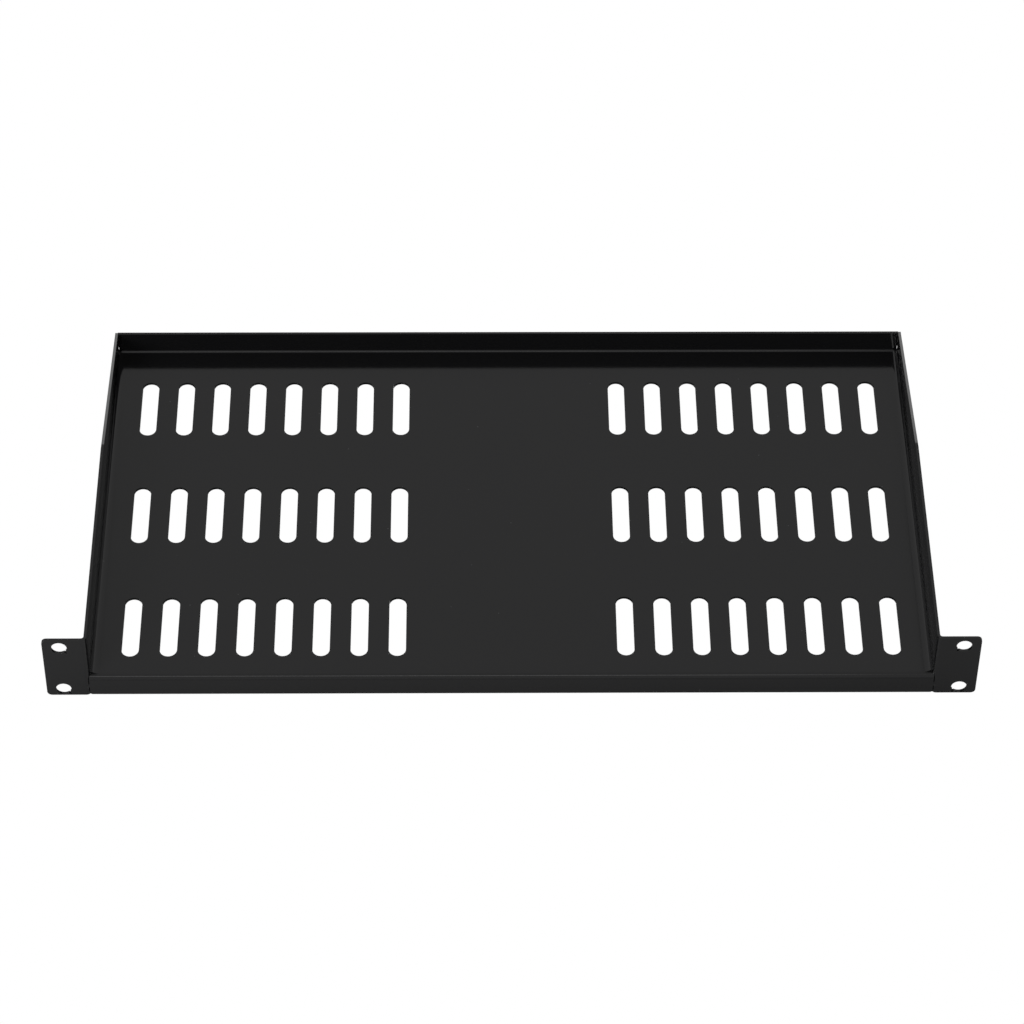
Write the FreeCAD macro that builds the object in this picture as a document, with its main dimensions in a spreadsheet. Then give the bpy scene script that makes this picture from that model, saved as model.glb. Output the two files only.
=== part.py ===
import FreeCAD, Part
import math
import os
import Sketcher

# Cantilever rack shelf for a 19 inch rack, bent from one steel sheet and welded at its corners.
# Millimetres. X runs across the rack, Y towards the back, Z up.
# The origin is the centre of the four mounting holes, on the plane where the ears meet the rack.

SIZES = {
    "sheet_thickness": "1.5",
    "rack_width": "482.6",
    "ear_reach": "21.6",
    "ear_above_hole": "6.1",
    "ear_below_hole": "4.7",
    "ear_corner_radius": "2.5",
    "ear_leg_depth": "6",
    "hole_inset": "8.75",
    "hole_span_upright": "31.75",
    "hole_radius": "4.05",
    "shelf_depth": "243",
    "floor_drop": "29",
    "side_bend_radius": "4",
    "edge_bend_radius": "1.3",
    "level_wall_length": "138",
    "wall_tail_height": "13.2",
    "rear_wall_height": "13.5",
    "corner_relief_radius": "0.8",
    "corner_relief_inset": "1.2",
    "lip_height": "13.1",
    "lip_end_gap": "0.7",
    "lip_corner_radius": "1.2",
    "slot_width": "9",
    "slot_length": "41",
    "slot_rows": "3",
    "slots_each_side": "8",
    "slot_side_margin": "16.5",
    "bare_half_width": "55.11",
    "first_row_setback": "35",
    "last_row_setback": "46.8",
    "cutter_margin": "5",
}

DERIVED = {
    "ear_tip": "=rack_width / 2",
    "wall_outer": "=ear_tip - ear_reach",
    "wall_inner": "=wall_outer - sheet_thickness",
    "hole_x": "=ear_tip - hole_inset",
    "hole_z": "=hole_span_upright / 2",
    "ear_top": "=hole_z + ear_above_hole",
    "ear_bottom": "=-hole_z - ear_below_hole",
    "front_face": "=-sheet_thickness",
    "edge_bend_outer": "=edge_bend_radius + sheet_thickness",
    "side_bend_outer": "=side_bend_radius + sheet_thickness",
    "floor_top": "=ear_top - floor_drop",
    "floor_under": "=floor_top - sheet_thickness",
    "side_bend_start": "=wall_inner - side_bend_radius",
    "side_bend_top": "=floor_top + side_bend_radius",
    "side_bend_under": "=floor_under + side_bend_outer",
    "front_bend_end": "=front_face + edge_bend_outer",
    "rear_face": "=front_face + shelf_depth",
    "rear_inner": "=rear_face - sheet_thickness",
    "pan_length": "=rear_face - front_bend_end",
    "rear_bend_start": "=rear_face - edge_bend_outer",
    "rear_bend_top": "=floor_top + edge_bend_radius",
    "rear_bend_under": "=floor_under + edge_bend_outer",
    "rear_wall_top": "=floor_top + rear_wall_height",
    "rear_wall_width": "=2 * wall_inner",
    "corner_relief_x": "=wall_inner - corner_relief_inset",
    "corner_relief_y": "=rear_face - sheet_thickness / 2",
    "taper_start": "=front_face + level_wall_length",
    "wall_tail_top": "=floor_top + wall_tail_height",
    "cutter_top": "=ear_top + cutter_margin",
    "cutter_rear": "=rear_face + cutter_margin",
    "cutter_under": "=floor_under - cutter_margin",
    "lip_front_bend": "=floor_top - edge_bend_outer",
    "lip_inner_bend": "=floor_under - edge_bend_radius",
    "lip_bottom": "=floor_top - lip_height",
    "lip_end": "=wall_outer - lip_end_gap",
    "lip_width": "=2 * lip_end",
    "ear_bend_end": "=wall_inner + edge_bend_outer",
    "ear_leg_rear": "=front_face + ear_leg_depth",
    "ear_height": "=ear_top - ear_bottom",
    "corner_relief_depth": "=rear_bend_top + corner_relief_radius - cutter_under",
    "first_slot_right": "=bare_half_width + slot_width",
    "slot_cap_radius": "=slot_width / 2",
    "first_row_middle": "=front_face + first_row_setback",
    "slot_straight_front": "=first_row_middle - slot_length / 2 + slot_cap_radius",
    "slot_straight_rear": "=first_row_middle + slot_length / 2 - slot_cap_radius",
    "slot_columns_span": "=wall_outer - slot_side_margin - first_slot_right",
    "slot_rows_span": "=rear_face - last_row_setback - first_row_middle",
}

TOLERANCE = 1e-4
UPWARDS = FreeCAD.Vector(0, 0, 1)
# How a sketch numbers its own axes and a curve's points.
ALONG_AXIS, ACROSS_AXIS = range(-2, 0)
START, END, MIDDLE = range(1, 4)

doc = FreeCAD.newDocument("cantilever_rack_shelf")
sheet = doc.addObject("Spreadsheet::Sheet", "sizes")


def fill_sheet():
    """One row for each size: its name in column A and its value, under that name, in column B."""
    for row, (name, text) in enumerate(list(SIZES.items()) + list(DERIVED.items()), start=1):
        sheet.set("A%d" % row, name)
        sheet.set("B%d" % row, text)
        sheet.setAlias("B%d" % row, name)
    doc.recompute()


def amount(name):
    """The value of a named size, negative where the name starts with a minus sign."""
    if name is None:
        return 0.0
    if name.startswith("-"):
        return -float(sheet.get(name[1:]))
    return float(sheet.get(name))


def bound(name):
    """The expression that ties a feature to a named size."""
    if name.startswith("-"):
        return "-sizes.%s" % name[1:]
    return "sizes.%s" % name


def origin_plane(body, role):
    for feature in body.Origin.OriginFeatures:
        if feature.Role == role:
            return feature
    raise ValueError("no origin feature %s" % role)


def new_sketch(body, name, role, lift=None):
    """A sketch on one of the body's own planes, lifted along that plane's normal."""
    sketch = body.newObject("Sketcher::SketchObject", name)
    sketch.AttachmentSupport = [(origin_plane(body, role), "")]
    sketch.MapMode = "FlatFace"
    if lift is not None:
        sketch.setExpression("AttachmentOffset.Base.z", bound(lift))
    return sketch


def tie(sketch, name, kind, *places):
    """Add a sketch dimension that follows a named size."""
    number = sketch.addConstraint(Sketcher.Constraint(kind, *places, amount(name)))
    sketch.setExpression("Constraints[%d]" % number, bound(name))


def fix_point(sketch, curve, place, across, along):
    """Tie a point to its two coordinates; None puts it on the axis."""
    for kind, axis, name in (("DistanceX", ALONG_AXIS, across), ("DistanceY", ACROSS_AXIS, along)):
        if name is None:
            sketch.addConstraint(Sketcher.Constraint("PointOnObject", curve, place, axis))
        else:
            tie(sketch, name, kind, ACROSS_AXIS, START, curve, place)


def is_level(start, end):
    return abs(start.y - end.y) < TOLERANCE


def arc_centre(start, end, turn):
    """Centre of a half turn between level ends, or of a quarter turn that ends square to the axes."""
    if is_level(start, end):
        return (start + end) / 2
    chord = end - start
    centre = FreeCAD.Vector(start.x, end.y, 0)
    if chord.cross(centre - start).z * turn < 0:
        centre = FreeCAD.Vector(end.x, start.y, 0)
    return centre


def add_arc(sketch, start, end, turn):
    """An arc from one point to the next, with turn 1 anticlockwise and -1 clockwise."""
    centre = arc_centre(start, end, turn)
    circle = Part.Circle(centre, UPWARDS, (start - centre).Length)
    first, last = (start, end) if turn > 0 else (end, start)
    angles = [math.atan2(point.y - centre.y, point.x - centre.x) for point in (first, last)]
    return sketch.addGeometry(Part.ArcOfCircle(circle, *angles), False)


def add_outline(sketch, path):
    """A closed outline. An entry is (across, along), or (across, along, radius, turn) where an arc
    leads to the next point."""
    points = [FreeCAD.Vector(amount(entry[0]), amount(entry[1]), 0) for entry in path]
    curves = []
    for index, entry in enumerate(path):
        start, end = points[index], points[(index + 1) % len(path)]
        if len(entry) == 2:
            curve = sketch.addGeometry(Part.LineSegment(start, end), False)
            curves.append((curve, START, END))
            continue
        radius, turn = entry[2:]
        curve = add_arc(sketch, start, end, turn)
        curves.append((curve, START, END) if turn > 0 else (curve, END, START))
    for index, entry in enumerate(path):
        curve, head, tail = curves[index]
        before, before_head, before_tail = curves[index - 1]
        sketch.addConstraint(Sketcher.Constraint("Coincident", before, before_tail, curve, head))
        fix_point(sketch, curve, head, entry[0], entry[1])
    for index, entry in enumerate(path):
        if len(entry) == 2:
            continue
        curve = curves[index][0]
        if is_level(points[index], points[(index + 1) % len(path)]):
            tie(sketch, entry[1], "DistanceY", ACROSS_AXIS, START, curve, MIDDLE)
        else:
            tie(sketch, entry[2], "Radius", curve)


def other_side(name):
    return name[1:] if name.startswith("-") else "-" + name


def mirrored_path(path):
    """The same outline on the other side of the middle, in reverse so that arcs keep their turn."""
    result = []
    for index in reversed(range(len(path))):
        across, along = path[index][:2]
        arc = path[index - 1][2:]
        result.append((other_side(across), along) + tuple(arc))
    return result


def add_circle(sketch, across, along, radius):
    middle = FreeCAD.Vector(amount(across), amount(along), 0)
    curve = sketch.addGeometry(Part.Circle(middle, UPWARDS, amount(radius)), False)
    fix_point(sketch, curve, MIDDLE, across, along)
    tie(sketch, radius, "Radius", curve)


def pad(body, name, sketch, length, both_ways=False, backwards=False):
    feature = body.newObject("PartDesign::Pad", name)
    feature.Profile = sketch
    feature.SideType = "Symmetric" if both_ways else "One side"
    feature.Reversed = backwards
    feature.Length = amount(length)
    feature.setExpression("Length", bound(length))
    doc.recompute()
    return feature


def pocket(body, name, sketch, length=None, backwards=False):
    """Cut to a length on one side of the sketch, or right through on both sides."""
    volume_before = body.Shape.Volume
    feature = body.newObject("PartDesign::Pocket", name)
    feature.Profile = sketch
    if length is None:
        feature.SideType = "Symmetric"
        feature.Type = "ThroughAll"
    else:
        feature.Length = amount(length)
        feature.setExpression("Length", bound(length))
        feature.Reversed = backwards
    doc.recompute()
    if body.Shape.Volume >= volume_before:
        raise ValueError("%s removed nothing" % name)
    return feature


def round_cross_edges(body, name, radius, places):
    """Round the straight edges that run along Y at the given X and Z."""
    base = body.Tip
    edges = []
    for number, edge in enumerate(base.Shape.Edges, start=1):
        ends = [vertex.Point for vertex in edge.Vertexes]
        if len(ends) != 2 or abs(ends[0].y - ends[1].y) < TOLERANCE:
            continue
        for across, up in places:
            if all(abs(end.x - amount(across)) + abs(end.z - amount(up)) < TOLERANCE for end in ends):
                edges.append("Edge%d" % number)
    if len(edges) != len(places):
        raise ValueError("%s found %d edges for %d places" % (name, len(edges), len(places)))
    feature = body.newObject("PartDesign::Fillet", name)
    feature.Base = (base, edges)
    feature.Radius = amount(radius)
    feature.setExpression("Radius", bound(radius))
    doc.recompute()
    return feature


def fold_pan(body):
    """Floor and side walls: one channel section along the depth, then the walls' tapered tails."""
    section = new_sketch(body, "pan_section", "XZ_Plane", "-front_bend_end")
    add_outline(section, [
        ("-wall_outer", "ear_top"),
        ("-wall_outer", "side_bend_under", "side_bend_outer", 1),
        ("-side_bend_start", "floor_under"),
        ("side_bend_start", "floor_under", "side_bend_outer", 1),
        ("wall_outer", "side_bend_under"),
        ("wall_outer", "ear_top"),
        ("wall_inner", "ear_top"),
        ("wall_inner", "side_bend_top", "side_bend_radius", -1),
        ("side_bend_start", "floor_top"),
        ("-side_bend_start", "floor_top", "side_bend_radius", -1),
        ("-wall_inner", "side_bend_top"),
        ("-wall_inner", "ear_top"),
    ])
    pad(body, "pan", section, "pan_length", backwards=True)

    tail = new_sketch(body, "wall_taper_line", "YZ_Plane")
    add_outline(tail, [
        ("taper_start", "ear_top"),
        ("rear_face", "wall_tail_top"),
        ("cutter_rear", "wall_tail_top"),
        ("cutter_rear", "cutter_top"),
        ("taper_start", "cutter_top"),
    ])
    pocket(body, "wall_taper", tail)


def fold_rear_wall(body):
    """The floor's back edge turned up and welded to the side walls, with a small relief at each corner."""
    corner = new_sketch(body, "rear_corner_line", "YZ_Plane")
    add_outline(corner, [
        ("rear_bend_start", "floor_under", "edge_bend_outer", 1),
        ("rear_face", "rear_bend_under"),
        ("cutter_rear", "rear_bend_under"),
        ("cutter_rear", "cutter_under"),
        ("rear_bend_start", "cutter_under"),
    ])
    pocket(body, "rear_corner", corner)

    profile = new_sketch(body, "rear_wall_profile", "YZ_Plane")
    add_outline(profile, [
        ("rear_bend_start", "floor_under", "edge_bend_outer", 1),
        ("rear_face", "rear_bend_under"),
        ("rear_face", "rear_wall_top"),
        ("rear_inner", "rear_wall_top"),
        ("rear_inner", "rear_bend_top", "edge_bend_radius", -1),
        ("rear_bend_start", "floor_top"),
    ])
    pad(body, "rear_wall", profile, "rear_wall_width", both_ways=True)

    relief = new_sketch(body, "corner_relief_circles", "XY_Plane", "cutter_under")
    for across in ("corner_relief_x", "-corner_relief_x"):
        add_circle(relief, across, "corner_relief_y", "corner_relief_radius")
    pocket(body, "corner_reliefs", relief, "corner_relief_depth", backwards=True)


def fold_lip(body):
    """The floor's front edge turned down."""
    profile = new_sketch(body, "lip_profile", "YZ_Plane")
    add_outline(profile, [
        ("front_bend_end", "floor_top", "edge_bend_outer", 1),
        ("front_face", "lip_front_bend"),
        ("front_face", "lip_bottom"),
        (None, "lip_bottom"),
        (None, "lip_inner_bend", "edge_bend_radius", -1),
        ("front_bend_end", "floor_under"),
    ])
    pad(body, "lip", profile, "lip_width", both_ways=True)
    round_cross_edges(body, "lip_corners", "lip_corner_radius", [
        ("lip_end", "lip_bottom"),
        ("-lip_end", "lip_bottom"),
    ])


def fold_ears(body):
    """Each side wall's front edge turned outwards. An ear reaches down past the floor on a short leg,
    and is welded to the end of the lip."""
    profile = new_sketch(body, "ear_profile", "XY_Plane", "ear_bottom")
    right_ear = [
        ("wall_inner", "ear_leg_rear"),
        ("wall_inner", "front_bend_end", "edge_bend_outer", 1),
        ("ear_bend_end", "front_face"),
        ("ear_tip", "front_face"),
        ("ear_tip", None),
        ("ear_bend_end", None, "edge_bend_radius", -1),
        ("wall_outer", "front_bend_end"),
        ("wall_outer", "ear_leg_rear"),
    ]
    add_outline(profile, right_ear)
    add_outline(profile, mirrored_path(right_ear))
    pad(body, "ears", profile, "ear_height")
    round_cross_edges(body, "ear_corners", "ear_corner_radius", [
        ("ear_tip", "ear_top"),
        ("-ear_tip", "ear_top"),
        ("ear_tip", "ear_bottom"),
        ("-ear_tip", "ear_bottom"),
    ])


def punch_mounting_holes(body):
    holes = new_sketch(body, "mounting_hole_circles", "XZ_Plane")
    for across in ("hole_x", "-hole_x"):
        for up in ("hole_z", "-hole_z"):
            add_circle(holes, across, up, "hole_radius")
    pocket(body, "mounting_holes", holes)


def punch_slots(body):
    """One ventilation slot, repeated across one side, in rows, and on the other side."""
    outline = new_sketch(body, "slot_outline", "XY_Plane")
    add_outline(outline, [
        ("first_slot_right", "slot_straight_front"),
        ("first_slot_right", "slot_straight_rear", "slot_cap_radius", 1),
        ("bare_half_width", "slot_straight_rear"),
        ("bare_half_width", "slot_straight_front", "slot_cap_radius", 1),
    ])
    slot = pocket(body, "slot", outline)

    repeats = body.newObject("PartDesign::MultiTransform", "slots")
    across = body.newObject("PartDesign::LinearPattern", "slots_across")
    across.Direction = (outline, ["H_Axis"])
    across.setExpression("Length", bound("slot_columns_span"))
    across.setExpression("Occurrences", bound("slots_each_side"))
    rows = body.newObject("PartDesign::LinearPattern", "slot_rows")
    rows.Direction = (outline, ["V_Axis"])
    rows.setExpression("Length", bound("slot_rows_span"))
    rows.setExpression("Occurrences", bound("slot_rows"))
    mirror = body.newObject("PartDesign::Mirrored", "slots_other_side")
    mirror.MirrorPlane = (outline, ["V_Axis"])
    repeats.Originals = [slot]
    repeats.Transformations = [across, rows, mirror]
    body.Tip = repeats
    doc.recompute()


def build_shelf():
    body = doc.addObject("PartDesign::Body", "shelf")
    body.Label = "shelf"
    doc.recompute()
    fold_pan(body)
    fold_rear_wall(body)
    fold_lip(body)
    fold_ears(body)
    punch_mounting_holes(body)
    punch_slots(body)
    body.Placement = FreeCAD.Placement()
    doc.recompute()
    return body


def check(bodies):
    for item in doc.Objects:
        if "Invalid" in item.State or "Error" in item.State:
            raise ValueError("%s failed: %s" % (item.Name, item.State))
    for body in bodies:
        if body.Shape.isNull() or not body.Shape.isValid() or len(body.Shape.Solids) != 1:
            raise ValueError("%s is not one valid solid" % body.Label)


fill_sheet()
sub_parts = [build_shelf()]
check(sub_parts)
os.makedirs("parts", exist_ok=True)
for sub_part in sub_parts:
    sub_part.Shape.exportStep("parts/%s.step" % sub_part.Label)
    box = sub_part.Shape.BoundBox
    print(sub_part.Label, "volume %.1f" % sub_part.Shape.Volume, "faces", len(sub_part.Shape.Faces))
    print("X %.2f to %.2f, Y %.2f to %.2f, Z %.2f to %.2f"
          % (box.XMin, box.XMax, box.YMin, box.YMax, box.ZMin, box.ZMax))
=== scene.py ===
import math
from types import SimpleNamespace

import bmesh
import bpy
from bpy.props import FloatProperty, FloatVectorProperty, IntProperty, PointerProperty
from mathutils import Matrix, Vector


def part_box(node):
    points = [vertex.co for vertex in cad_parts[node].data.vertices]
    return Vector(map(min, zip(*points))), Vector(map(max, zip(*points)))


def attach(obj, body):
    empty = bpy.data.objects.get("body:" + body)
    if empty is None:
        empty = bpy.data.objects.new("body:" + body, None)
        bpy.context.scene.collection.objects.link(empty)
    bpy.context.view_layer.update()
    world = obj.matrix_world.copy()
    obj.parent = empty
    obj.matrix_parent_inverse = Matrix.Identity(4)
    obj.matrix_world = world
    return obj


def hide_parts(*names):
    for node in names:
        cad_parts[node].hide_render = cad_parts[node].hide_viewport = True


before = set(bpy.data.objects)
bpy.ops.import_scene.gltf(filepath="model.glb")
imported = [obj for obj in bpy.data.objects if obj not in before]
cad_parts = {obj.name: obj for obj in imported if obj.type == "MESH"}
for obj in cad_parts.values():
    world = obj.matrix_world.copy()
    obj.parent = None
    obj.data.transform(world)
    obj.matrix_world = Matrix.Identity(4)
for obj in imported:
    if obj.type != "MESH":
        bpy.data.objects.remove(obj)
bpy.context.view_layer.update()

bl_info = {
    "name": "Cantilever rack shelf",
    "version": (1, 0, 0),
    "blender": (4, 5, 0),
    "location": "View3D > Sidebar > Rack shelf",
    "description": "Folds a vented sheet-steel rack shelf, coats it and sets it on a pale stage",
    "category": "Add Mesh",
}

MM = 0.001
SHELF_LOW, SHELF_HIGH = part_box("shelf")
QUARTER_TURN = math.pi / 2
# How near two coordinates count as the same, in metres.
NEAR = 1e-5
ACROSS, INTO_RACK, UP = Vector((1, 0, 0)), Vector((0, 1, 0)), Vector((0, 0, 1))
# Facets across each kind of bend and rounding.
LIP_BEND_STEPS, REAR_BEND_STEPS, SIDE_BEND_STEPS, EAR_BEND_STEPS = 6, 4, 8, 6
LIP_CORNER_STEPS, EAR_CORNER_STEPS = 3, 5
# Cuts along each edge of a cell that becomes part of a round opening.
SLOT_END_CUTS, HOLE_EDGE_CUTS = 15, 7
# The stage board's half width, and how far it lies below the shelf, in metres.
BOARD_HALF = 3
BOARD_DROP = 1 * MM
# The camera's lens in millimetres, its place in metres and its turns in degrees.
CAMERA_LENS = 133.02
CAMERA_PLACE = (-0.01997, -1.28478, 1.47595)
CAMERA_TURNS = (43.364, -0.346, -0.492)


def linear_colour(hex_code):
    """A linear RGBA colour from an sRGB hex code."""
    channels = [int(hex_code[place:place + 2], 16) / 255 for place in (1, 3, 5)]
    return tuple(
        channel / 12.92 if channel <= 0.04045 else ((channel + 0.055) / 1.055) ** 2.4
        for channel in channels
    ) + (1.0,)


def length(name, description, default, **limits):
    """A length property shown in the file's units."""
    return FloatProperty(name=name, description=description, default=default,
                         subtype="DISTANCE", unit="LENGTH", precision=5, **limits)


class ShelfSizes(bpy.types.PropertyGroup):
    """The folded sheet's sizes."""
    sheet: length("Sheet thickness", "Thickness of the steel sheet", 1.5 * MM, min=0.5 * MM)
    half_width: length("Half width", "From the middle to an ear's outer edge", SHELF_HIGH.x)
    front: length("Front face", "Front face of the ears and the lip", SHELF_LOW.y)
    rear: length("Rear face", "Outer face of the rear wall", SHELF_HIGH.y)
    top: length("Ear top", "Top edge of the ears and the side walls", SHELF_HIGH.z)
    bottom: length("Ear bottom", "Bottom edge of the ears", SHELF_LOW.z)
    floor_drop: length("Floor drop", "From the side walls' top edge to the floor", 29 * MM)
    ear_reach: length("Ear reach", "How far an ear stands out from its wall", 21.6 * MM)
    ear_corner: length("Ear corner radius", "Rounding of an ear's outer corners", 2.5 * MM)
    ear_leg: length("Ear leg depth", "How far an ear's leg reaches back under the floor", 6 * MM)
    hole_inset: length("Hole inset", "From an ear's outer edge to its holes", 8.75 * MM)
    hole_pitch: length("Hole spacing", "Upright spacing of an ear's holes", 31.75 * MM)
    hole_radius: length("Hole radius", "Radius of the mounting holes", 4.05 * MM)
    side_bend: length("Side bend radius", "Inner radius between floor and side wall", 4 * MM)
    edge_bend: length("Edge bend radius", "Inner radius of the other bends", 1.3 * MM)
    level_wall: length("Level wall", "Length of the side walls' level top edge", 138 * MM)
    tail_height: length("Wall tail height", "Side walls' height above the floor at the rear", 13.2 * MM)
    rear_height: length("Rear wall height", "Rear wall's height above the floor", 13.5 * MM)
    lip_height: length("Lip height", "Height of the front lip", 13.1 * MM)
    lip_gap: length("Lip setback", "From a wall's outer face in to the lip's end", 0.7 * MM)
    lip_corner: length("Lip corner radius", "Rounding of the lip's lower corners", 1.2 * MM)
    bead_width: length("Weld bead width", "Width of the bead at each end of the lip", 4 * MM)
    bead_height: length("Weld bead height", "From the lip's bottom edge up to the bead", 6 * MM)
    edge_round: length("Coated edge radius", "Rounding that the coat gives cut edges", 0.25 * MM)


class SlotSizes(bpy.types.PropertyGroup):
    """The ventilation slots in the floor."""
    width: length("Slot width", "Width of a slot", 9 * MM)
    span: length("Slot length", "Length of a slot, rounded ends included", 41 * MM)
    bare_half: length("Bare half width", "From the middle to the first slot", 55.11 * MM)
    side_margin: length("Side margin", "From a wall's outer face to the last slot", 16.5 * MM)
    first_row: length("First row", "From the front face to the first row's middle", 35 * MM)
    last_row: length("Last row", "From the rear face to the last row's middle", 46.8 * MM)
    columns: IntProperty(name="Columns", description="Slots in a row on each side", default=8, min=2)
    rows: IntProperty(name="Rows", description="Rows of slots", default=3, min=2)


class CoatLook(bpy.types.PropertyGroup):
    """The powder coat and the stage."""
    coat: FloatVectorProperty(name="Coat colour", description="Colour of the powder coat",
                              subtype="COLOR", size=4, default=linear_colour("#0e0e0f"))
    dust: FloatVectorProperty(name="Dust colour", description="Colour of the odd speck on it",
                              subtype="COLOR", size=4, default=linear_colour("#3a3a3c"))
    grain: length("Coat grain", "Size of the coat's fine bumps", 0.9 * MM)
    stage: FloatVectorProperty(name="Stage colour", description="Colour of the floor",
                               subtype="COLOR", size=4, default=linear_colour("#b2b2b2"))


def key_lines(s):
    """The sheet's fold and edge positions on its upper side, in metres."""
    p = SimpleNamespace()
    p.wall = s.half_width - s.ear_reach - s.sheet
    p.side_fold = p.wall - s.side_bend
    p.floor = s.top - s.floor_drop
    p.side_fold_top = p.floor + s.side_bend
    p.outer_bend = s.edge_bend + s.sheet
    p.front_fold = s.front + p.outer_bend
    p.rear_fold = s.rear - p.outer_bend
    p.ear_fold = p.wall + p.outer_bend
    p.lip_end = s.half_width - s.ear_reach - s.lip_gap
    p.hole_x = s.half_width - s.hole_inset
    return p


def verts_of(items):
    """Every vertex of some edges or faces, once and in order."""
    return list(dict.fromkeys(vert for item in items for vert in item.verts))


def open_edges(bm, test):
    """The sheet's free edges whose two ends both pass the test."""
    return [edge for edge in bm.edges
            if edge.is_boundary and all(test(vert.co) for vert in edge.verts)]


def at(value, wanted):
    """Whether two coordinates are the same, apart from rounding."""
    return abs(value - wanted) < NEAR


def draw_out(bm, edges, shift):
    """Draw free edges out into flat sheet."""
    made = bmesh.ops.extrude_edge_only(bm, edges=edges)["geom"]
    far = [item for item in made if isinstance(item, bmesh.types.BMVert)]
    bmesh.ops.translate(bm, verts=far, vec=shift)


def bend(bm, edges, centre, axis, steps):
    """Sweep free edges through a quarter turn of sheet, and return the far edges."""
    made = bmesh.ops.spin(bm, geom=verts_of(edges) + edges, cent=centre, axis=axis,
                          angle=QUARTER_TURN, steps=steps, use_merge=False)["geom_last"]
    return [item for item in made if isinstance(item, bmesh.types.BMEdge)]


def cut_line(bm, faces, point, normal, clear=False):
    """Cut faces along a plane, and drop what is beyond it if asked."""
    edges = list(dict.fromkeys(edge for face in faces for edge in face.edges))
    bmesh.ops.bisect_plane(bm, geom=verts_of(faces) + edges + faces, dist=NEAR / 10,
                           plane_co=point, plane_no=normal, clear_outer=clear)


def round_corner(bm, place, radius, steps):
    """Round one corner of the sheet's outline."""
    corner = min(bm.verts, key=lambda vert: (vert.co - place).length)
    bmesh.ops.bevel(bm, geom=[corner], offset=radius, offset_type="OFFSET", affect="VERTICES",
                    segments=steps, profile=0.5, clamp_overlap=False, material=-1)


def open_cell(bm, face, margin):
    """Inset a face, drop its middle and return the edges round the opening."""
    bmesh.ops.inset_individual(bm, faces=[face], thickness=margin, use_even_offset=True)
    edges = list(face.edges)
    bmesh.ops.delete(bm, geom=[face], context="FACES_ONLY")
    return edges


def subdivided_verts(bm, edges, cuts):
    """Divide edges evenly, and return every vertex along them, once and in order."""
    made = bmesh.ops.subdivide_edges(bm, edges=edges, cuts=cuts)["geom_inner"]
    inner = [item for item in made if isinstance(item, bmesh.types.BMVert)]
    return list(dict.fromkeys(verts_of(edges) + inner))


def lay_floor(bm, p):
    """Half of the flat floor, as one face."""
    made = bmesh.ops.create_grid(bm, x_segments=1, y_segments=1, size=1)["verts"]
    low = Vector((0, p.front_fold, p.floor))
    high = Vector((p.side_fold, p.rear_fold, p.floor))
    bmesh.ops.scale(bm, verts=made, vec=(high - low) / 2)
    bmesh.ops.translate(bm, verts=made, vec=(low + high) / 2)


def punch_slots(bm, s, p, slots):
    """Cut the floor into cells, and open a round-ended slot in each."""
    first = slots.bare_half + slots.width / 2
    last = s.half_width - s.ear_reach - slots.side_margin - slots.width / 2
    pitch = (last - first) / (slots.columns - 1)
    margin = (pitch - slots.width) / 2
    rows_from = s.front + slots.first_row
    row_pitch = (s.rear - slots.last_row - rows_from) / (slots.rows - 1)
    columns = [first + pitch * number for number in range(slots.columns)]
    rows = [rows_from + row_pitch * number for number in range(slots.rows)]
    for number in range(slots.columns + 1):
        cut_line(bm, bm.faces[:], ACROSS * (first + pitch * (number - 0.5)), ACROSS)
    for row in rows:
        for side in (-1, 1):
            line = row + side * (slots.span / 2 + margin)
            cut_line(bm, bm.faces[:], INTO_RACK * line, INTO_RACK)
    cut_line(bm, bm.faces[:], INTO_RACK * (s.front + s.level_wall), INTO_RACK)
    cells = []
    for row in rows:
        for column in columns:
            middle = Vector((column, row, p.floor))
            face = min(bm.faces, key=lambda item: (item.calc_center_bounds() - middle).length)
            cells.append((face, middle))
    radius = slots.width / 2
    straight = slots.span / 2 - radius
    for face, middle in cells:
        ends = [edge for edge in open_cell(bm, face, margin)
                if at(edge.verts[0].co.y, edge.verts[1].co.y)]
        for vert in subdivided_verts(bm, ends, SLOT_END_CUTS):
            away = vert.co - middle
            side = math.copysign(1, away.y)
            turn = QUARTER_TURN * away.x / radius
            vert.co = middle + ACROSS * radius * math.sin(turn)
            vert.co += INTO_RACK * side * (straight + radius * math.cos(turn))


def fold_lip(bm, s, p):
    """The floor's front edge turned down, and its ends drawn out to the ears."""
    front = open_edges(bm, lambda co: at(co.y, p.front_fold) and at(co.z, p.floor))
    centre = Vector((0, p.front_fold, p.floor - p.outer_bend))
    front = bend(bm, front, centre, ACROSS, LIP_BEND_STEPS)
    draw_out(bm, front, UP * (p.outer_bend - s.lip_height))
    ends = open_edges(bm, lambda co: at(co.x, p.side_fold) and co.y < p.front_fold + NEAR)
    draw_out(bm, ends, ACROSS * (p.lip_end - p.side_fold))
    corner = Vector((p.lip_end, s.front, p.floor - s.lip_height))
    round_corner(bm, corner, s.lip_corner, LIP_CORNER_STEPS)


def fold_rear_wall(bm, s, p):
    """The floor's rear edge turned up, and its ends drawn out to the side walls."""
    rear = open_edges(bm, lambda co: at(co.y, p.rear_fold) and at(co.z, p.floor))
    centre = Vector((0, p.rear_fold, p.floor + s.edge_bend))
    rear = bend(bm, rear, centre, ACROSS, REAR_BEND_STEPS)
    draw_out(bm, rear, UP * (s.rear_height - s.edge_bend))
    ends = open_edges(bm, lambda co: at(co.x, p.side_fold) and co.y > p.rear_fold - NEAR)
    draw_out(bm, ends, ACROSS * s.side_bend)


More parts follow.
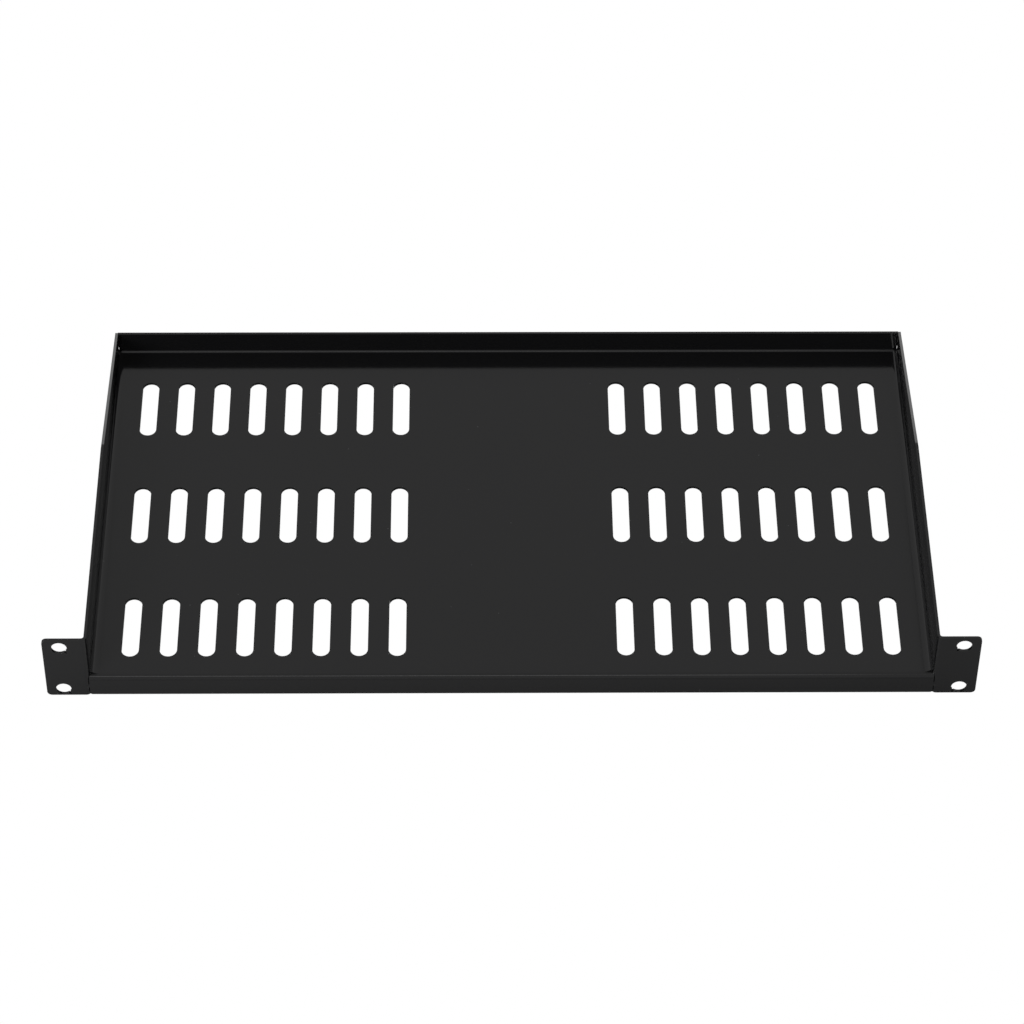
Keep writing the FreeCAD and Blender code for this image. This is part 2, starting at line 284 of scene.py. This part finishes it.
def fold_side_wall(bm, s, p):
    """The floor's side edge turned up, drawn out to the rear, and tapered."""
    side = open_edges(bm, lambda co: at(co.x, p.side_fold) and at(co.z, p.floor)
                      and p.front_fold - NEAR < co.y < p.rear_fold + NEAR)
    centre = Vector((p.side_fold, 0, p.side_fold_top))
    side = bend(bm, side, centre, -INTO_RACK, SIDE_BEND_STEPS)
    draw_out(bm, side, UP * (s.top - p.side_fold_top))
    rear = open_edges(bm, lambda co: at(co.x, p.wall) and at(co.y, p.rear_fold))
    draw_out(bm, rear, INTO_RACK * p.outer_bend)
    wall = [face for face in bm.faces if all(at(vert.co.x, p.wall) for vert in face.verts)]
    taper_start = Vector((p.wall, s.front + s.level_wall, s.top))
    taper_end = Vector((p.wall, s.rear, p.floor + s.tail_height))
    slope = taper_end - taper_start
    cut_line(bm, wall, taper_start, ACROSS.cross(slope).normalized(), clear=True)


def fold_ear(bm, s, p):
    """The side wall's front edge turned outwards. The ear reaches down past the floor, where a
    short leg joins it to the side wall's line."""
    edge = open_edges(bm, lambda co: at(co.x, p.wall) and at(co.y, p.front_fold))
    centre = Vector((p.ear_fold, p.front_fold, 0))
    edge = bend(bm, edge, centre, UP, EAR_BEND_STEPS)
    draw_out(bm, edge, ACROSS * (s.half_width - p.ear_fold))
    under = open_edges(bm, lambda co: at(co.z, p.side_fold_top) and co.y < p.front_fold + NEAR
                       and co.x > p.wall - NEAR)
    draw_out(bm, under, UP * (s.bottom - p.side_fold_top))
    leg = open_edges(bm, lambda co: at(co.x, p.wall) and at(co.y, p.front_fold)
                     and co.z < p.side_fold_top + NEAR)
    draw_out(bm, leg, INTO_RACK * (s.front + s.ear_leg - p.front_fold))
    plate = {face for face in bm.faces if all(at(vert.co.y, s.front)
             and vert.co.x > p.ear_fold - NEAR for vert in face.verts)}
    inner = [item for item in bm.edges
             if len(item.link_faces) == 2 and plate.issuperset(item.link_faces)]
    bmesh.ops.dissolve_edges(bm, edges=inner, use_verts=False)
    between = [vert for vert in bm.verts
               if at(vert.co.x, s.half_width) and at(vert.co.z, p.side_fold_top)]
    bmesh.ops.dissolve_verts(bm, verts=between)
    for height in (s.top, s.bottom):
        corner = Vector((s.half_width, s.front, height))
        round_corner(bm, corner, s.ear_corner, EAR_CORNER_STEPS)


def punch_holes(bm, s, p):
    """Two round holes in the ear, each opened in a square cell that is a little larger."""
    rim_width = 0.45 * MM
    half_cell = s.hole_radius + rim_width
    for side in (-1, 1):
        ear = [face for face in bm.faces if face.calc_center_bounds().x > p.ear_fold]
        cut_line(bm, ear, ACROSS * (p.hole_x + side * half_cell), ACROSS)
    for height in (-s.hole_pitch / 2, s.hole_pitch / 2):
        middle = Vector((p.hole_x, s.front, height))
        for side in (-1, 1):
            column = [face for face in bm.faces if at(face.calc_center_bounds().x, p.hole_x)]
            cut_line(bm, column, UP * (height + side * half_cell), UP)
        face = min(bm.faces, key=lambda item: (item.calc_center_bounds() - middle).length)
        rim = open_cell(bm, face, rim_width)
        for vert in subdivided_verts(bm, rim, HOLE_EDGE_CUTS):
            vert.co = middle + (vert.co - middle).normalized() * s.hole_radius


def folded_sheet(s, slots):
    """The whole sheet's upper side: one half folded from its floor, then mirrored."""
    p = key_lines(s)
    bm = bmesh.new()
    lay_floor(bm, p)
    punch_slots(bm, s, p, slots)
    fold_lip(bm, s, p)
    fold_rear_wall(bm, s, p)
    fold_side_wall(bm, s, p)
    fold_ear(bm, s, p)
    punch_holes(bm, s, p)
    bmesh.ops.mirror(bm, geom=bm.verts[:] + bm.edges[:] + bm.faces[:], axis="X",
                     merge_dist=NEAR / 10)
    bmesh.ops.remove_doubles(bm, verts=bm.verts, dist=NEAR)
    bmesh.ops.recalc_face_normals(bm, faces=bm.faces)
    floor_face = min(bm.faces, key=lambda face: face.calc_center_bounds().length)
    if floor_face.normal.z < 0:
        bmesh.ops.reverse_faces(bm, faces=bm.faces)
    for face in bm.faces:
        face.smooth = True
    return bm


def weld_beads(s):
    """A flattened blob of weld across the seam at each end of the lip, just behind its face."""
    p = key_lines(s)
    bm = bmesh.new()
    half_size = Vector((s.bead_width / 2, 0.45 * s.sheet, s.bead_width / 3))
    seam = (p.lip_end + p.ear_fold) / 2
    behind_face = 0.02 * s.sheet
    depth = s.front + half_size.y + behind_face
    height = p.floor - s.lip_height + s.bead_height
    for side in (-1, 1):
        made = bmesh.ops.create_uvsphere(bm, u_segments=20, v_segments=12, radius=1)["verts"]
        bmesh.ops.scale(bm, verts=made, vec=half_size)
        bmesh.ops.translate(bm, verts=made, vec=(side * seam, depth, height))
    for face in bm.faces:
        face.smooth = True
    return bm


def add_node(tree, kind, links=(), **settings):
    """Add a node, set its properties and socket values, and link its inputs.
    links holds (input, node, output); a setting named in_X fills socket X."""
    node = tree.nodes.new(kind)
    for name, value in settings.items():
        if name.startswith("in_"):
            socket = name[3:].replace("_", " ")
            node.inputs[int(socket) if socket.isdigit() else socket].default_value = value
        else:
            setattr(node, name, value)
    for socket, source, output in links:
        tree.links.new(source.outputs[output], node.inputs[socket])
    return node


def new_tree(owner):
    """An empty node tree for a material or a world."""
    owner.use_nodes = True
    owner.node_tree.nodes.clear()
    return owner.node_tree


def powder_coat(look):
    """Black polyester powder coat, sprayed and baked on steel. The pigment gives it almost no
    colour of its own: what shows is a slightly blurred reflection of the pale surroundings."""
    material = bpy.data.materials.new("black_powder_coat")
    tree = new_tree(material)
    place = add_node(tree, "ShaderNodeTexCoord")
    # The real coat's grain is about 0.3 mm, and it is drawn three times as coarse so that it shows.
    grain = add_node(tree, "ShaderNodeTexNoise", [("Vector", place, "Object")],
                     in_Scale=1 / look.grain, in_Detail=3.0, in_Roughness=0.6)
    # The sprayed film's thickness wanders slowly, over some 30 mm.
    drift = add_node(tree, "ShaderNodeTexNoise", [("Vector", place, "Object")],
                     in_Scale=1 / (30 * MM), in_Detail=2.0)
    rough = add_node(tree, "ShaderNodeMapRange", [("Value", drift, "Fac")],
                     in_To_Min=0.10, in_To_Max=0.13)
    bumps = add_node(tree, "ShaderNodeBump", [("Height", grain, "Fac")],
                     in_Strength=0.3, in_Distance=0.05 * MM)
    # Dust baked into the coat: pale specks of up to 0.7 mm, some 50 mm apart.
    specks = add_node(tree, "ShaderNodeTexVoronoi", [("Vector", place, "Object")],
                      in_Scale=1 / (12 * MM))
    is_speck = add_node(tree, "ShaderNodeMath", [(0, specks, "Distance")],
                        operation="LESS_THAN", in_1=0.03)
    colour = add_node(tree, "ShaderNodeMix", [("Factor", is_speck, "Value")],
                      data_type="RGBA", in_6=look.coat, in_7=look.dust)
    coat = add_node(tree, "ShaderNodeBsdfPrincipled",
                    [("Base Color", colour, "Result"), ("Roughness", rough, "Result"),
                     ("Normal", bumps, "Normal")], in_IOR=1.5)
    add_node(tree, "ShaderNodeOutputMaterial", [("Surface", coat, "BSDF")])
    return material


def stage_paint(look):
    """Matt pale board. It shows as plain white, and lights the object as the board it is."""
    material = bpy.data.materials.new("pale_stage_board")
    tree = new_tree(material)
    ray = add_node(tree, "ShaderNodeLightPath")
    board = add_node(tree, "ShaderNodeBsdfDiffuse", in_Color=look.stage)
    white = add_node(tree, "ShaderNodeEmission", in_Color=(1, 1, 1, 1), in_Strength=1.0)
    mix = add_node(tree, "ShaderNodeMixShader",
                   [("Fac", ray, "Is Camera Ray"), (1, board, "BSDF"), (2, white, "Emission")])
    add_node(tree, "ShaderNodeOutputMaterial", [("Surface", mix, "Shader")])
    return material


def add_object(name, bm):
    """Turn a finished bmesh into an object in the scene."""
    mesh = bpy.data.meshes.new(name)
    bm.to_mesh(mesh)
    bm.free()
    item = bpy.data.objects.new(name, mesh)
    bpy.context.scene.collection.objects.link(item)
    return item


class RACKSHELF_OT_shelf(bpy.types.Operator):
    """Fold, punch and coat the sheet-steel shelf"""
    bl_idname = "rackshelf.shelf"
    bl_label = "Folded shelf"

    def execute(self, context):
        sizes = context.scene.shelf_sizes
        shelf = add_object("folded_shelf", folded_sheet(sizes, context.scene.slot_sizes))
        wall = shelf.modifiers.new("sheet_thickness", "SOLIDIFY")
        wall.thickness = sizes.sheet
        wall.offset = -1
        wall.use_even_offset = True
        edge = shelf.modifiers.new("coated_edges", "BEVEL")
        edge.width = sizes.edge_round
        edge.segments = 3
        edge.limit_method = "ANGLE"
        edge.angle_limit = math.radians(50)
        edge.miter_outer = "MITER_ARC"
        shading = shelf.modifiers.new("flat_faces_stay_flat", "WEIGHTED_NORMAL")
        shading.mode = "FACE_AREA_WITH_ANGLE"
        shading.weight = 100
        shelf.data.materials.append(powder_coat(context.scene.coat_look))
        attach(shelf, "root")
        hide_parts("shelf")
        return {"FINISHED"}


def soft_lamp(name, place, aim, size, power):
    """A soft box that faces a point. Places and sizes are in metres, its power is in watts."""
    data = bpy.data.lights.new(name, "AREA")
    data.shape = "RECTANGLE"
    data.size, data.size_y = size
    data.energy = power
    lamp = bpy.data.objects.new(name, data)
    lamp.location = place
    lamp.rotation_euler = (aim - lamp.location).to_track_quat("-Z", "Y").to_euler()
    bpy.context.scene.collection.objects.link(lamp)


class RACKSHELF_OT_welds(bpy.types.Operator):
    """Lay a small weld bead where each end of the lip meets its ear"""
    bl_idname = "rackshelf.welds"
    bl_label = "Weld beads"

    def execute(self, context):
        beads = add_object("lip_weld_beads", weld_beads(context.scene.shelf_sizes))
        beads.data.materials.append(bpy.data.materials["black_powder_coat"])
        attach(beads, "root")
        return {"FINISHED"}


class RACKSHELF_OT_stage(bpy.types.Operator):
    """Set up the pale floor, the soft lamps, the surroundings and the camera"""
    bl_idname = "rackshelf.stage"
    bl_label = "Stage, lamps and camera"

    def execute(self, context):
        scene = context.scene
        sizes = scene.shelf_sizes
        board = bmesh.new()
        made = bmesh.ops.create_grid(board, x_segments=1, y_segments=1, size=BOARD_HALF)["verts"]
        bmesh.ops.translate(board, verts=made, vec=UP * (sizes.bottom - BOARD_DROP))
        floor = add_object("stage_floor", board)
        floor.data.materials.append(stage_paint(scene.coat_look))

        world = bpy.data.worlds.new("pale_surroundings")
        tree = new_tree(world)
        ray = add_node(tree, "ShaderNodeLightPath")
        # The surroundings light the shelf at half of white, and are seen as plain white.
        seen = add_node(tree, "ShaderNodeMix", [("Factor", ray, "Is Camera Ray")],
                        data_type="FLOAT", in_2=0.50, in_3=1.0)
        air = add_node(tree, "ShaderNodeBackground", [("Strength", seen, "Result")],
                       in_Color=(1, 1, 1, 1))
        add_node(tree, "ShaderNodeOutputWorld", [("Surface", air, "Background")])
        scene.world = world

        middle = (SHELF_LOW + SHELF_HIGH) / 2
        left_front = Vector((-0.4, -0.3, 0))
        soft_lamp("front_soft_box", (-0.1, -0.9, 1.6), middle, (0.9, 0.3), power=1.2)
        soft_lamp("rear_soft_box", (0, 2.2, 1.05), middle, (1.6, 0.3), power=2.5)
        soft_lamp("left_soft_box", (-1.0, -0.9, 0.7), left_front, (0.6, 0.6), power=14)
        scene.view_settings.view_transform = "Standard"
        add_camera(scene)
        return {"FINISHED"}


def add_camera(scene):
    """A long lens, high in front of the shelf."""
    data = bpy.data.cameras.new("camera")
    data.sensor_width = 36
    data.lens = CAMERA_LENS
    data.clip_end = 20
    camera = bpy.data.objects.new("camera", data)
    camera.location = CAMERA_PLACE
    camera.rotation_euler = [math.radians(turn) for turn in CAMERA_TURNS]
    scene.collection.objects.link(camera)
    scene.camera = camera


class RACKSHELF_PT_panel(bpy.types.Panel):
    """Sidebar panel with the shelf's steps, sizes and colours"""
    bl_idname = "RACKSHELF_PT_panel"
    bl_label = "Rack shelf"
    bl_space_type = "VIEW_3D"
    bl_region_type = "UI"
    bl_category = "Rack shelf"

    def draw(self, context):
        """Draw a button for each step, then a box for each group of settings."""
        for operator in OPERATORS:
            self.layout.operator(operator.bl_idname)
        for group, kind in GROUPS.items():
            box = self.layout.box()
            for name in kind.__annotations__:
                box.prop(getattr(context.scene, group), name)


OPERATORS = (RACKSHELF_OT_shelf, RACKSHELF_OT_welds, RACKSHELF_OT_stage)
GROUPS = {"shelf_sizes": ShelfSizes, "slot_sizes": SlotSizes, "coat_look": CoatLook}
CLASSES = tuple(GROUPS.values()) + OPERATORS + (RACKSHELF_PT_panel,)


def register():
    for kind in CLASSES:
        bpy.utils.register_class(kind)
    for group, kind in GROUPS.items():
        setattr(bpy.types.Scene, group, PointerProperty(type=kind))


def unregister():
    for group in GROUPS:
        delattr(bpy.types.Scene, group)
    for kind in reversed(CLASSES):
        bpy.utils.unregister_class(kind)


def main():
    register()
    bpy.ops.rackshelf.stage()
    bpy.ops.rackshelf.shelf()
    bpy.ops.rackshelf.welds()


if __name__ == "__main__":
    main()
